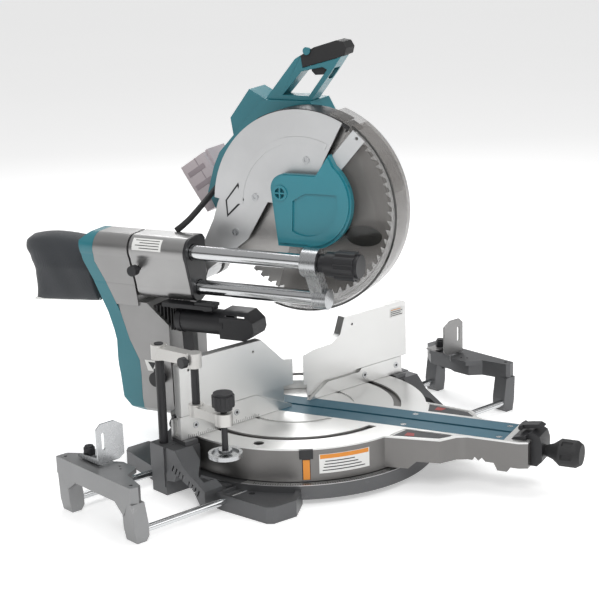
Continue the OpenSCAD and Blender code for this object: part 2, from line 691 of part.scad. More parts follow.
module motor_housing() color("teal") mitred() difference() {
    union() {
        plate_yz(housing_x, 112) polygon([[-20, 604], [62, 604], [72, 600], [132, 536],
            [154, 512], [166, 487], [180, 441], [160, 402], [120, 398], [60, 424], [0, 440],
            [-40, 500], [-44, 560]]);
        // hood over the electronics
        plate_yz(60, 118) polygon([[62, 596], [104, 618], [142, 568], [136, 530], [96, 540]]);
        rod_x(housing_x, 158, 36, 532, 58);
        rod_x(157.9, 164, 36, 532, 50);
        // reduction gear case at the arbor
        rod_x(32.1, 66, -arbor_front, arbor_z, 44);
        rod_x(65.9, 70, -arbor_front, arbor_z, 34);
        plate_yz(housing_x, 66) polygon([[-60, 420], [-60, 540], [40, 540], [40, 424]]);
    }
    rod_x(20, 62, -arbor_front, arbor_z, 12 + fit);
    // cooling slots in the motor end
    for (k = [-3 : 3]) block(150, 170, 36 - 36, 36 + 36, 532 + 11 * k, 535 + 11 * k);
    // seat of the battery rails
    translate([104, 174, 470]) rotate([-33.4, 0, 0]) block(-42, 34, -2, 70, -56, 140);
}
handle_x0 = 46;
handle_x1 = 78;
module handle_shell() color("teal") mitred() difference() {
    plate_yz(handle_x0, handle_x1) difference() {
        polygon([[66, 604.1], [60, 612], [10, 672], [0, 678], [-26, 688], [-70, 700],
            [-80, 696], [-80, 686], [-54, 650], [-18, 604.1]]);
        polygon([[34, 612], [-2, 652], [-40, 660], [-48, 656], [-14, 612]]);
        polygon([[2, 700], [-4, 658], [-40, 668], [-66, 675], [-90, 684], [-90, 710]]);
    }
    block(handle_x0 + 5, handle_x1 - 5, -60, -10, 640, 681);
}
module handle_grip() color([0.1, 0.1, 0.1]) mitred() difference() {
    plate_yz(handle_x0 - 1, handle_x1 + 1) polygon([[-1.6, 678.4], [-4.4, 658.4], [-40, 668.3],
        [-66, 675.3], [-81, 681], [-84, 692], [-78, 702], [-66, 704], [-26, 692]]);
    block(handle_x0 + 5, handle_x1 - 5, -60, -10, 640, 681);
    rod_x(40, 54, -14, 686, 5);
}
module trigger() color([0.15, 0.15, 0.15]) mitred() plate_yz(handle_x0 + 6, handle_x1 - 6)
    polygon([[-14, 673], [-18, 652], [-24, 646], [-38, 647], [-50, 655], [-54, 668],
        [-56, 673]]);
module lock_off_button() color("teal") mitred() {
    rod_x(42.8, 50.5, -14, 686, 4.9);
    rod_x(40.6, 42.9, -14, 686, 6.5);
}
bat_tilt = -33.4;
module battery_frame() translate([104, 174, 470]) rotate([bat_tilt, 0, 0]) children();
module battery() color([0.75, 0.68, 0.7]) mitred() battery_frame() difference() {
    union() {
        block(-40, 24, 4, 58, -46, 44);
        block(-30, 30, -1.6, 4.1, -50, 46);
        block(-34, 20, 57.9, 62, -38, 36);
    }
    block(-14, 4, 47.6, 70, -34, -16);
}
module battery_button() color([0.35, 0.3, 0.32]) mitred() battery_frame()
    block(-13.6, 3.6, 50.4, 61, -33.6, -16.4);

// ---- guard and blade ----
module guard_sector(a0, a1) rotate([0, 0, a0]) rotate_extrude(angle = a1 - a0, $fn = 128)
    children();
module lower_guard() color([0.45, 0.4, 0.36]) mitred() at_arbor() {
    guard_sector(-108, 56) union() {
        translate([60, 20.5]) square([guard_r - 60, 2.5]);
        translate([guard_r - 4, -36]) square([4, 59]);
        translate([122, -36]) square([guard_r - 122, 2.5]);
        translate([guard_r - 4, 22]) square([6, 3]);
    }
    guard_sector(55.9, 70) translate([guard_r - 3.5, -36]) square([3.5, 59]);
}
module guard_spoke() color("lightgray") mitred() at_arbor() rotate([0, 0, 49])
    difference() {
        translate([94, -13, 23.2]) cube([71.5, 26, 3.4]);
        translate([160, 0, 20]) cylinder(h = 10, r = 3);
    }
module cover_outline() {
    translate([-20, 34]) circle(r = 25);
    polygon([[-45, 34], [-34, -61], [42, -61], [60, 0], [42, 59], [-20, 59]]);
    intersection() {
        translate([20, 15]) circle(r = 79, $fn = 96);
        polygon([[20, -90], [140, -90], [140, 100], [61, 94], [37, 59], [20, 40]]);
    }
    polygon([[37, 59], [61, 94], [70, 76], [60, 40]]);
}
module center_cover() color("teal") mitred() at_arbor() difference() {
    union() {
        translate([0, 0, 27]) linear_extrude(11) cover_outline();
        translate([0, 0, 37.9]) linear_extrude(4) intersection() {
            translate([2.5, 2.5]) scale([0.94, 0.94]) cover_outline();
            union() {
                polygon([[-60, 70], [40, 70], [40, 40], [12, 26], [-4, 16], [-8, -70],
                    [-60, -70]]);
                translate([20, 15]) difference() {
                    circle(r = 90, $fn = 96);
                    circle(r = 56, $fn = 96);
                }
                polygon([[20, 40], [80, 110], [110, 50], [60, 30]]);
                polygon([[-60, 38], [90, 38], [90, 30], [-60, 30]]);
            }
        }
        // boss with a cross
        translate([-26, 28, 41.8]) cylinder(h = 2.2, r = 13);
        translate([-26, 28, 23.2]) cylinder(h = 5, r = 20);
        rotate([0, 0, 20]) translate([70, 0, 23.2]) cylinder(h = 5, r = 10);
        rotate([0, 0, -50]) translate([66, 0, 23.2]) cylinder(h = 5, r = 8);
    }
    translate([-26, 28, 38]) difference() {
        cylinder(h = 10, r = 9);
        translate([-10, -1.2, -1]) cube([20, 2.4, 12]);
        translate([-1.2, -10, -1]) cube([2.4, 20, 12]);
    }
}
teeth = 60;
module saw_blade() color("silver") mitred() at_arbor() translate([0, 0, -0.9])
    linear_extrude(1.8) difference() {
        circle(r = blade_r, $fn = 180);
        circle(r = 12.6);
        for (k = [0 : teeth - 1]) rotate([0, 0, k * 360 / teeth]) polygon([
            [blade_r - 8, 0], [blade_r + 1, 0.6], [blade_r + 1, -9], [blade_r - 3, -7]]);
    }
module blade_flanges() color("gray") mitred() {
    for (s = [[-5.9, -0.95], [0.95, 5.9]]) difference() {
        rod_x(s[0], s[1], -arbor_front, arbor_z, 26);
        rod_x(s[0] - 1, s[1] + 1, -arbor_front, arbor_z, 12.6);
    }
}
module blade_spindle() color("gray") mitred() {
    rod_x(-8, 60, -arbor_front, arbor_z, 12);
    rod_x(-13, -5.95, -arbor_front, arbor_z, 14);
}

base_casting();
mitre_scale();
turntable_pivot_bolt();
lower_fence();
left_sliding_fence();
right_sliding_fence();
left_fence_clamp();
right_fence_clamp();
left_holder();
left_holder_rods();
left_stop_plate();
left_stop_screw();
right_holder();
right_holder_rods();
right_stop_plate();
right_stop_screw();
vise_post();
vise_arm();
vise_drop_rod();
vise_lower_arm();
vise_arm_screw();
vise_screw();
vise_pad();
turntable();
kerf_boards();
kerf_board_screws();
mitre_pointer();
bevel_pivot_pin();
dust_hood();
mitre_lever_housing();
mitre_grip();
mitre_latch_lever();
arm_casting();
arm_rear_cover();
slide_rails();
rail_front_clamp();
bevel_lock_knob();
bevel_stop_knob();
dust_duct();
dust_bag();
carriage();
carriage_end_cover();
slide_lock_screw();
linear_bearings();
depth_stop();
cable_guard();
blade_case();
case_screws();
case_bracket();
head_hinge_pin();
motor_housing();
handle_shell();
handle_grip();
trigger();
lock_off_button();
battery();
battery_button();
lower_guard();
guard_spoke();
center_cover();
saw_blade();
blade_flanges();
blade_spindle();
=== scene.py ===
"""Looks of the sliding compound mitre saw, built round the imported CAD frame. All lengths are in metres."""
import math

import bmesh
import bpy
from mathutils import Matrix, Vector


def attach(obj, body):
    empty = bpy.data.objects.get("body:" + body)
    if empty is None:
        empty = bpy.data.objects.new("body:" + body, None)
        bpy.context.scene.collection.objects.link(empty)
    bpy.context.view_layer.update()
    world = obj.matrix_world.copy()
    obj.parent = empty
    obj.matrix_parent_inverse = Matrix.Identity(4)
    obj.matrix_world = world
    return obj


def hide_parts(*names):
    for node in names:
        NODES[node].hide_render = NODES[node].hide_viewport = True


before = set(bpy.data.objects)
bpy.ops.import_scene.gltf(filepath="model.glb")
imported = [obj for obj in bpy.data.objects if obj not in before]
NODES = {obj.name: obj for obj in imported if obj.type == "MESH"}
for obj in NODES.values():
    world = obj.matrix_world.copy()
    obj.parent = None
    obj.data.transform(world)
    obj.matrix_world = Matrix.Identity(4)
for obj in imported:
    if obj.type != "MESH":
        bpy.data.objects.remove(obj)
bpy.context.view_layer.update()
MM = 0.001
REST_MITRE = math.radians(22.5)
HEAD = Matrix.Rotation(REST_MITRE, 4, "Z")

# ---------------------------------------------------------------- camera

CAMERA_PLACE = (-1.68493, -1.94434, 0.97026)
CAMERA_RIGHT = (0.74819, -0.66283, -0.02933)
CAMERA_UP = (0.19417, 0.17649, 0.96496)
CAMERA_LENS_MM = 95.4


def make_camera():
    right = Vector(CAMERA_RIGHT)
    up = Vector(CAMERA_UP)
    back = right.cross(up)
    cam = bpy.data.cameras.new("camera")
    cam.lens = CAMERA_LENS_MM
    cam.sensor_width = 36
    cam.clip_end = 50
    obj = bpy.data.objects.new("camera", cam)
    bpy.context.scene.collection.objects.link(obj)
    rotation = Matrix((right, up, back)).transposed()
    obj.matrix_world = Matrix.Translation(CAMERA_PLACE) @ rotation.to_4x4()
    bpy.context.scene.camera = obj


make_camera()

# ---------------------------------------------------------------- materials


class Shader:
    """A node material under construction."""

    def __init__(self, name, metallic, roughness, **sockets):
        self.mat = bpy.data.materials.new(name)
        self.mat.use_nodes = True
        self.tree = self.mat.node_tree
        self.bsdf = self.tree.nodes["Principled BSDF"]
        self.bsdf.inputs["Metallic"].default_value = metallic
        self.bsdf.inputs["Roughness"].default_value = roughness
        for key, value in sockets.items():
            self.bsdf.inputs[key.replace("_", " ")].default_value = value
        self.coord = self.add("ShaderNodeTexCoord").outputs["Object"]

    def add(self, kind, **values):
        node = self.tree.nodes.new(kind)
        for key, value in values.items():
            setattr(node, key, value)
        return node

    def link(self, a, b):
        self.tree.links.new(a, b)

    def stretched(self, scale):
        node = self.add("ShaderNodeMapping")
        node.inputs["Scale"].default_value = scale
        self.link(self.coord, node.inputs["Vector"])
        return node.outputs["Vector"]

    def noise(self, scale, detail=3.0, vector=None, rough=0.55):
        node = self.add("ShaderNodeTexNoise")
        node.inputs["Scale"].default_value = scale
        node.inputs["Detail"].default_value = detail
        node.inputs["Roughness"].default_value = rough
        self.link(vector or self.coord, node.inputs["Vector"])
        return node.outputs["Fac"]

    def mix(self, fac, a, b):
        node = self.add("ShaderNodeMix", data_type="RGBA")
        self.link(fac, node.inputs["Factor"])
        for socket, value in ((node.inputs[6], a), (node.inputs[7], b)):
            if isinstance(value, tuple):
                socket.default_value = (*value[:3], 1)
            else:
                self.link(value, socket)
        return node.outputs[2]

    def span(self, fac, low, high):
        node = self.add("ShaderNodeMapRange")
        node.inputs["To Min"].default_value = low
        node.inputs["To Max"].default_value = high
        self.link(fac, node.inputs["Value"])
        return node.outputs["Result"]

    def colour(self, output):
        self.link(output, self.bsdf.inputs["Base Color"])

    def roughness(self, output):
        self.link(output, self.bsdf.inputs["Roughness"])

    def bump(self, height, strength, distance=0.0004):
        node = self.add("ShaderNodeBump")
        node.inputs["Strength"].default_value = strength
        node.inputs["Distance"].default_value = distance
        self.link(height, node.inputs["Height"])
        self.link(node.outputs["Normal"], self.bsdf.inputs["Normal"])

    def scuffs(self, low=0.62, high=0.8):
        """Small rubbed patches: 0 on most of the surface."""
        node = self.add("ShaderNodeMapRange")
        node.inputs["From Min"].default_value = low
        node.inputs["From Max"].default_value = high
        self.link(self.noise(46.0, 8.0, rough=0.75), node.inputs["Value"])
        return node.outputs["Result"]


def shade(colour, factor):
    return tuple(min(1.0, c * factor) for c in colour[:3])


def painted(name, colour, metallic, roughness, grain=900, strength=0.25, wear=None, coat=0.0):
    """Painted or cast metal and moulded plastic: mottled colour, fine grain and optional rubbed patches."""
    s = Shader(name, metallic, roughness, Coat_Weight=coat)
    tone = s.noise(9.0, 4.0)
    base = s.mix(tone, shade(colour, 0.86), shade(colour, 1.12))
    if wear:
        base = s.mix(s.scuffs(), base, wear)
    s.colour(base)
    s.roughness(s.span(s.noise(38.0, 5.0), roughness - 0.07, roughness + 0.09))
    s.bump(s.noise(grain, 2.0), strength, 0.0002)
    return s.mat


def brushed(name, colour, roughness, stretch, strength=0.12):
    """Machined metal with fine marks: the lower the stretch of an axis, the longer the marks along it."""
    s = Shader(name, 1.0, roughness)
    marks = s.noise(3.0, 6.0, s.stretched(stretch), 0.7)
    s.colour(s.mix(s.noise(6.0), shade(colour, 0.9), shade(colour, 1.08)))
    s.roughness(s.span(marks, roughness - 0.09, roughness + 0.13))
    s.bump(marks, strength, 0.00025)
    return s.mat


def above(s, height):
    """1 on what lies above a height in millimetres, 0 below it."""
    split = s.add("ShaderNodeSeparateXYZ")
    s.link(s.coord, split.inputs["Vector"])
    test = s.add("ShaderNodeMath", operation="GREATER_THAN")
    s.link(split.outputs["Z"], test.inputs[0])
    test.inputs[1].default_value = height * MM
    return test.outputs[0]


def turned(name, colour, roughness, side, height):
    """A faced top with rings of tool marks round the pivot, over a darker painted side."""
    s = Shader(name, 0.9, roughness)
    flat = s.add("ShaderNodeVectorMath", operation="MULTIPLY")
    flat.inputs[1].default_value = (1, 1, 0)
    s.link(s.coord, flat.inputs[0])
    length = s.add("ShaderNodeVectorMath", operation="LENGTH")
    s.link(flat.outputs["Vector"], length.inputs[0])
    rings = s.add("ShaderNodeTexNoise", noise_dimensions="1D")
    rings.inputs["Scale"].default_value = 900
    s.link(length.outputs["Value"], rings.inputs["W"])
    marks = rings.outputs["Fac"]
    faced = s.mix(s.noise(7.0), shade(colour, 0.9), shade(colour, 1.06))
    cast = s.mix(s.noise(11.0, 4.0), shade(side, 0.88), shade(side, 1.12))
    s.colour(s.mix(above(s, height), cast, faced))
    s.roughness(s.span(marks, roughness - 0.08, roughness + 0.12))
    s.bump(marks, 0.1, 0.0002)
    return s.mat


def woven(name, colour):
    """Coarse nylon cloth with a visible weave and dusty tone changes."""
    s = Shader(name, 0.0, 0.85, Sheen_Weight=0.35, Sheen_Roughness=0.5)
    heights = []
    for axis in ("X", "Z"):
        wave = s.add("ShaderNodeTexWave", bands_direction=axis)
        wave.inputs["Scale"].default_value = 260
        wave.inputs["Distortion"].default_value = 0.6
        s.link(s.coord, wave.inputs["Vector"])
        heights.append(wave.outputs["Fac"])
    join = s.add("ShaderNodeMath", operation="MAXIMUM")
    s.link(heights[0], join.inputs[0])
    s.link(heights[1], join.inputs[1])
    tone = s.mix(s.noise(14.0, 5.0), shade(colour, 0.75), shade(colour, 1.35))
    s.colour(s.mix(join.outputs[0], shade(colour, 0.6), tone))
    s.bump(join.outputs[0], 0.5, 0.0006)
    return s.mat


def smoky(name, colour, alpha):
    """Tinted clear plastic with faint smears."""
    s = Shader(name, 0.0, 0.12, Alpha=alpha, IOR=1.49, Coat_Weight=0.3)
    s.colour(s.mix(s.noise(12.0), shade(colour, 0.85), shade(colour, 1.15)))
    s.roughness(s.span(s.noise(40.0, 5.0), 0.06, 0.24))
    s.bump(s.noise(5.0, 2.0), 0.08, 0.002)
    return s.mat


def sawn_steel(name, colour):
    """Blade plate: mottled steel with fine marks that run level across it."""
    s = Shader(name, 1.0, 0.3)
    marks = s.noise(60.0, 6.0, s.stretched((1, 1, 9)), 0.7)
    s.colour(s.mix(s.noise(22.0), shade(colour, 0.8), shade(colour, 1.1)))
    s.roughness(s.span(marks, 0.2, 0.42))
    s.bump(marks, 0.1, 0.0002)
    return s.mat


TEAL = (0.028, 0.185, 0.225)
STEEL = (0.5, 0.51, 0.52)
BLACK = (0.014, 0.014, 0.016)
MATS = {
    "teal": painted("teal_shell", TEAL, 0.0, 0.34, 1500, 0.12, coat=0.25),
    "cover_teal": painted("teal_cover", (0.02, 0.215, 0.27), 0.0, 0.3, 1500, 0.1, coat=0.3),
    "kerf": painted("kerf_plastic", (0.03, 0.115, 0.165), 0.0, 0.5, 700, 0.2),
    "base": painted("cast_dark_grey", (0.12, 0.122, 0.126), 0.6, 0.4, 420, 0.35, (0.22, 0.22, 0.23)),
    "holder": painted("cast_mid_grey", (0.27, 0.272, 0.275), 0.7, 0.38, 420, 0.35, (0.4, 0.4, 0.4)),
    "arm": painted("arm_grey", (0.3, 0.297, 0.295), 0.78, 0.34, 700, 0.2, (0.3, 0.3, 0.31)),
    "case": painted("case_silver", (0.62, 0.625, 0.63), 0.72, 0.34, 700, 0.15, (0.7, 0.7, 0.7)),
    "carriage": painted("carriage_grey", (0.36, 0.357, 0.355), 0.85, 0.32, 600, 0.2, (0.36, 0.36, 0.36)),
    "fence": brushed("fence_face", (0.74, 0.74, 0.73), 0.36, (2, 220, 220)),
    "vise": painted("vise_cast", (0.6, 0.59, 0.57), 0.75, 0.36, 420, 0.3, (0.68, 0.67, 0.65)),
    "clear": smoky("frosted_spoke", (0.7, 0.71, 0.72), 0.7),
    "table": turned("faced_table", (0.72, 0.72, 0.71), 0.34, (0.2, 0.195, 0.19), 87.2),
    "scale": brushed("scale_plate", (0.7, 0.7, 0.7), 0.35, (40, 40, 40)),
    "steel": brushed("bright_steel", STEEL, 0.26, (30, 200, 30)),
    "rail": brushed("ground_rail", (0.62, 0.63, 0.64), 0.14, (300, 300, 3), 0.04),
    "blade": sawn_steel("blade_plate", (0.4, 0.39, 0.38)),
    "black": painted("black_moulded", BLACK, 0.0, 0.42, 1300, 0.3),
    "rubber": painted("black_rubber", (0.018, 0.018, 0.019), 0.0, 0.62, 800, 0.5),
    "smoky": smoky("smoky_guard", (0.2, 0.19, 0.18), 0.34),
    "smoky_rim": smoky("smoky_rim", (0.2, 0.18, 0.165), 0.3),
    "bag": woven("bag_cloth", (0.03, 0.034, 0.04)),
    "battery": painted("battery_grey", (0.53, 0.47, 0.49), 0.0, 0.5, 1000, 0.25),
    "battery_dark": painted("battery_ribs", (0.33, 0.28, 0.3), 0.0, 0.5, 1000, 0.25),
    "rim": smoky("guard_rim_dark", (0.03, 0.03, 0.028), 0.8),
    "orange": painted("orange_mark", (0.75, 0.27, 0.03), 0.0, 0.4, 900, 0.1),
    "white": painted("white_label", (0.8, 0.8, 0.78), 0.0, 0.4, 900, 0.08),
    "red": painted("red_mark", (0.32, 0.03, 0.025), 0.0, 0.45, 900, 0.1),
    "pad": painted("dark_pad", (0.035, 0.037, 0.04), 0.3, 0.45, 600, 0.3),
}

LOOKS = {
    "base": ["base_casting", "right_holder"],
    "holder": ["left_holder"],
    "scale": ["mitre_scale"],
    "fence": ["lower_fence", "left_sliding_fence", "right_sliding_fence"],
    "table": ["turntable"],
    "vise": ["vise_arm", "vise_lower_arm"],
    "clear": ["guard_spoke"],
    "steel": ["turntable_pivot_bolt", "vise_pad", "kerf_board_screws", "bevel_pivot_pin",
              "left_stop_plate", "linear_bearings", "case_screws", "head_hinge_pin",
              "blade_flanges", "blade_spindle", "rail_front_clamp"],
    "arm": ["arm_casting", "right_stop_plate"],
    "case": ["blade_case"],
    "carriage": ["carriage"],
    "rail": ["slide_rails", "left_holder_rods", "right_holder_rods"],
    "blade": ["saw_blade"],
    "teal": ["arm_rear_cover", "motor_housing", "handle_shell", "lock_off_button"],
    "cover_teal": ["center_cover"],
    "kerf": ["kerf_boards"],
    "black": ["left_fence_clamp", "right_fence_clamp", "left_stop_screw", "right_stop_screw",
              "vise_post", "vise_drop_rod", "vise_arm_screw", "vise_screw", "mitre_pointer", "dust_hood",
              "mitre_lever_housing", "mitre_latch_lever", "bevel_lock_knob", "bevel_stop_knob",
              "carriage_end_cover", "slide_lock_screw", "depth_stop", "case_bracket", "trigger",
              "battery_button"],
    "rubber": ["mitre_grip", "handle_grip", "cable_guard", "dust_duct"],
    "smoky": ["lower_guard"],
    "battery": ["battery"],
    "bag": ["dust_bag"],
}
EDGE_MM = {"base_casting": 1.6, "arm_casting": 4, "arm_rear_cover": 4, "motor_housing": 5, "battery": 3,
           "handle_shell": 3, "handle_grip": 3.5, "left_holder": 1.5, "right_holder": 1.5,
           "carriage": 3, "blade_case": 2.0, "center_cover": 1.5, "mitre_lever_housing": 2.5,
           "dust_hood": 1.2, "rail_front_clamp": 2, "mitre_grip": 2, "saw_blade": 0.15, "turntable": 1.0,
           "kerf_boards": 0.4, "mitre_scale": 0.1, "kerf_board_screws": 0.2, "case_screws": 0.4}


def soften(obj, width):
    """Rounds the hard edges of a mesh with modifiers only, so that they catch light."""
    if "custom_normal" in obj.data.attributes:
        obj.data.attributes.remove(obj.data.attributes["custom_normal"])
    for face in obj.data.polygons:
        face.use_smooth = True
    weld = obj.modifiers.new("weld", "WELD")
    weld.merge_threshold = 0.00002
    flat = obj.modifiers.new("flat", "DECIMATE")
    flat.decimate_type = "DISSOLVE"
    flat.angle_limit = math.radians(0.7)
    bevel = obj.modifiers.new("bevel", "BEVEL")
    bevel.width = width * MM
    bevel.segments = 2
    bevel.limit_method = "ANGLE"
    bevel.angle_limit = math.radians(32)
    bevel.use_clamp_overlap = True
    bevel.harden_normals = False
    weighted = obj.modifiers.new("weighted", "WEIGHTED_NORMAL")
    weighted.keep_sharp = False


def dress_nodes():
    for look, names in LOOKS.items():
        for name in names:
            obj = NODES[name]
            obj.data.materials.clear()
            obj.data.materials.append(MATS[look])
            soften(obj, EDGE_MM.get(name, 0.6))


dress_nodes()

# ---------------------------------------------------------------- mesh tools


def piece(name, verts, faces, look, body, head=True, edge=0.0, smooth=True):
    """A new mesh on a body, given in millimetres in the head's frame, or in the base's if not head."""
    mesh = bpy.data.meshes.new(name)
    mesh.from_pydata([Vector(v) * MM for v in verts], [], faces)
    if head:
        mesh.transform(HEAD)
    bm = bmesh.new()
    bm.from_mesh(mesh)
    bmesh.ops.recalc_face_normals(bm, faces=bm.faces)
    bm.to_mesh(mesh)
    bm.free()
    obj = bpy.data.objects.new(name, mesh)
    bpy.context.scene.collection.objects.link(obj)
    mesh.materials.append(MATS[look])
    if smooth:
        soften(obj, edge or 0.3)
    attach(obj, body)
    return obj


def prism(points, low, high, axis="x"):
    """Vertices and faces of an outline pushed from low to high along an axis."""
    n = len(points)
    place = {"x": lambda t, p: (t, p[0], p[1]), "y": lambda t, p: (p[0], t, p[1]),
             "z": lambda t, p: (p[0], p[1], t)}[axis]
    verts = [place(low, p) for p in points] + [place(high, p) for p in points]
    faces = [tuple(range(n)), tuple(range(2 * n - 1, n - 1, -1))]
    faces += [(i, (i + 1) % n, n + (i + 1) % n, n + i) for i in range(n)]
    return verts, faces


def disc(centre, radius, low, high, axis="x", sides=32):
    pts = [(centre[0] + radius * math.cos(2 * math.pi * k / sides),
            centre[1] + radius * math.sin(2 * math.pi * k / sides)) for k in range(sides)]
    return prism(pts, low, high, axis)


def arc_bar(r0, r1, t0, t1, a0, a1, steps, place):
    """A bar between two radii and two offsets, bent from a0 to a1 degrees round an axis.

    place(x, y, offset) gives a point in millimetres from its place in the plane of the arc.
    """
    verts = []
    for k in range(steps + 1):
        a = math.radians(a0 + (a1 - a0) * k / steps)
        for r, t in ((r0, t0), (r1, t0), (r1, t1), (r0, t1)):
            verts.append(place(r * math.cos(a), r * math.sin(a), t))
    faces = [(0, 1, 2, 3), tuple(4 * steps + k for k in (3, 2, 1, 0))]
    for k in range(steps):
        for j in range(4):
            faces.append((4 * k + j, 4 * k + 4 + j, 4 * k + 4 + (j + 1) % 4, 4 * k + (j + 1) % 4))
    return verts, faces


def band(radius, a0, a1, z0, z1, thick, steps=24):
    """A curved plate on the skirt of the table, angles in degrees about the pivot."""
    return arc_bar(radius, radius + thick, z0, z1, a0, a1, steps, lambda x, y, z: (x, y, z))


# ---------------------------------------------------------------- marks, labels and trims

UPPER_RAIL = (-88, 366)


def screw(name, x, z, body):
    """A countersunk screw head in the front of a fence, with a black hexagon on it as painted shade for its
    hexagon recess.
    """
    verts, faces = disc((x, z), 5.6, -0.7, 0.4, "y")
    piece(name, verts, faces, "steel", body, head=False)
    # The black hexagon is painted shade standing for the dark inside the recess, not the screw's own colour.
    verts, faces = disc((x, z), 2.6, -0.85, -0.3, "y", 6)
    piece(name + "_recess_painted_shade", verts, faces, "black", body, head=False, smooth=False)


def carriage_plate(name, radius, thick, a0, a1, y0, y1, look):
    """A curved plate on the carriage, angles in degrees round the upper rail."""
    verts, faces = arc_bar(radius, radius + thick, y0, y1, a0, a1, 10,
                           lambda x, z, y: (UPPER_RAIL[0] + x, y, UPPER_RAIL[1] + z))
    return piece(name, verts, faces, look, "carriage", smooth=False)


def make_labels():
    """Blank plates in the places where the saw carries its labels."""
    verts, faces = band(218.1, -145.4, -122.8, 47, 79, 0.4)
    piece("skirt_label", verts, faces, "white", "table", smooth=False)
    verts, faces = band(218.5, -145.0, -123.2, 71.5, 78.4, 0.25)
    piece("skirt_label_header", verts, faces, "orange", "table", smooth=False)
    for k in range(4):
        verts, faces = band(218.5, -144.0 + 0.4 * k, -125.0 - 1.6 * k, 51 + 5 * k, 52.6 + 5 * k, 0.15)
        piece(f"skirt_label_line_{k}", verts, faces, "pad", "table", smooth=False)
    verts, faces = band(220.4, -152.2, -149.4, 39, 72, 0.3, 4)
    piece("pointer_strip", verts, faces, "orange", "table", smooth=False)
    carriage_plate("carriage_label", 24.02, 0.3, 124, 176, 190, 246, "white")
    for k in range(4):
        carriage_plate(f"carriage_label_line_{k}", 24.33, 0.12, 132 + 11 * k, 135 + 11 * k,
                       194, 240 - 8 * (k % 2), "pad")
    verts, faces = prism([(226, 147), (246, 147), (252, 166), (228, 166)], -81.35, -80.9)
    piece("arm_label", verts, faces, "white", "arm", smooth=False)
    verts, faces = prism([(236, 150), (245, 163), (230, 163)], -81.5, -81.3)
    piece("arm_label_sign", verts, faces, "pad", "arm", smooth=False)
    verts, faces = prism([(223, 197), (255, 197), (255, 213), (223, 213)], -0.35, 0.05, "y")
    piece("fence_label", verts, faces, "white", "right_fence", head=False, smooth=False)
    for k in range(4):
        z = 199 + 3.4 * k
        verts, faces = prism([(225, z), (253 - 4 * (k % 2), z), (253 - 4 * (k % 2), z + 1.2),
                              (225, z + 1.2)], -0.5, -0.34, "y")
        look, slot = ("orange", "scale_metal") if k == 3 else ("pad", "black_plastic")
        piece(f"fence_label_line_{k}", verts, faces, look, "right_fence", head=False,
              smooth=False)


def make_screws():
    for name, x, z, body in (("fence_screw_left", -134.6, 109.8, "base"),
                             ("fence_screw_far_left", -220, 110, "base"),
                             ("fence_screw_right", 236, 106, "base"),
                             ("fence_screw_mid_right", 158, 106, "base")):
        screw(name, x, z, body)


def make_fence_ticks():
    """Fine measuring lines along the lower lip of the fence."""
    verts, faces = [], []
    for k in range(38):
        x = -236 + 4 * k
        high = 97.5 if k % 5 == 0 else 95
        n = len(verts)
        part_verts, part_faces = prism([(x - 0.3, 91), (x + 0.3, 91), (x + 0.3, high), (x - 0.3, high)],
                                       -0.12, 0.05, "y")
        verts += part_verts
        faces += [tuple(n + i for i in face) for face in part_faces]
    piece("fence_ticks", verts, faces, "pad", "base", head=False, smooth=False)


def make_case_badge():
    """A plain raised lozenge with a rim on the blade case."""
    rim = [(115, 442), (90, 473), (80, 444), (113, 413)]
    inner = [(111.5, 442), (91, 467), (84, 444.5), (110.5, 419)]
    verts, faces = prism(rim, -18.2, -17.4)
    piece("case_badge_rim", verts, faces, "black", "head", edge=0.2)
    verts, faces = prism(inner, -18.8, -18.1)
    piece("case_badge", verts, faces, "case", "head", edge=0.2)


def make_side_marks():
    """The dark side pads of the table's arm and the red corner marks on them."""
    for side in (-1, 1):
        pts = [(side * 60, -226), (side * 74, -226), (side * 72, -242), (side * 60, -238)]
        verts, faces = prism(pts, 88.9, 89.25, "z")
        piece(f"pad_mark_{'left' if side < 0 else 'right'}", verts, faces, "red", "table",
              smooth=False)
        pts = [(side * 48, -219), (side * 83, -208), (side * 69, -282), (side * 53, -297),
               (side * 48, -296)]
        verts, faces = prism(pts, 88.75, 88.95, "z")
        piece(f"side_pad_{'left' if side < 0 else 'right'}", verts, faces, "pad", "table",
              smooth=False)


SCALE_R = 231
SCALE_TOP = 34.0


def make_scale_lines():
    """Degree lines round the mitre scale, longer at each fifth."""
    verts, faces = [], []
    for k in range(-60, 61):
        a = math.radians(-90 + k)
        reach = -9 if k % 5 == 0 else -5
        radial = (math.cos(a), math.sin(a))
        side = (-math.sin(a) * 0.35, math.cos(a) * 0.35)
        for z in (SCALE_TOP, SCALE_TOP + 0.12):
            for r, s in ((SCALE_R, -1), (SCALE_R + reach, -1), (SCALE_R + reach, 1), (SCALE_R, 1)):
                verts.append((radial[0] * r + side[0] * s, radial[1] * r + side[1] * s, z))
        n = len(verts) - 8
        faces += [(n, n + 3, n + 2, n + 1), (n + 4, n + 5, n + 6, n + 7)]
        faces += [(n + j, n + (j + 1) % 4, n + 4 + (j + 1) % 4, n + 4 + j) for j in range(4)]
    piece("scale_lines", verts, faces, "pad", "base", head=False, smooth=False)


# ---------------------------------------------------------------- trims of the head

ARBOR = (-26, 437.5)
BATTERY_ORIGIN = (104, 174, 470)
BATTERY_TILT = math.radians(-33.4)


def guard_strip(name, r0, r1, c0, c1, a0, a1, look, body, steps=60):
    """A flat arc round the arbor: angles up from the front, c to the left of the blade."""
    verts, faces = arc_bar(r0, r1, c0, c1, a0, a1, steps,
                           lambda front, up, c: (-c, ARBOR[0] - front, ARBOR[1] + up))
    return piece(name, verts, faces, look, body, smooth=False)


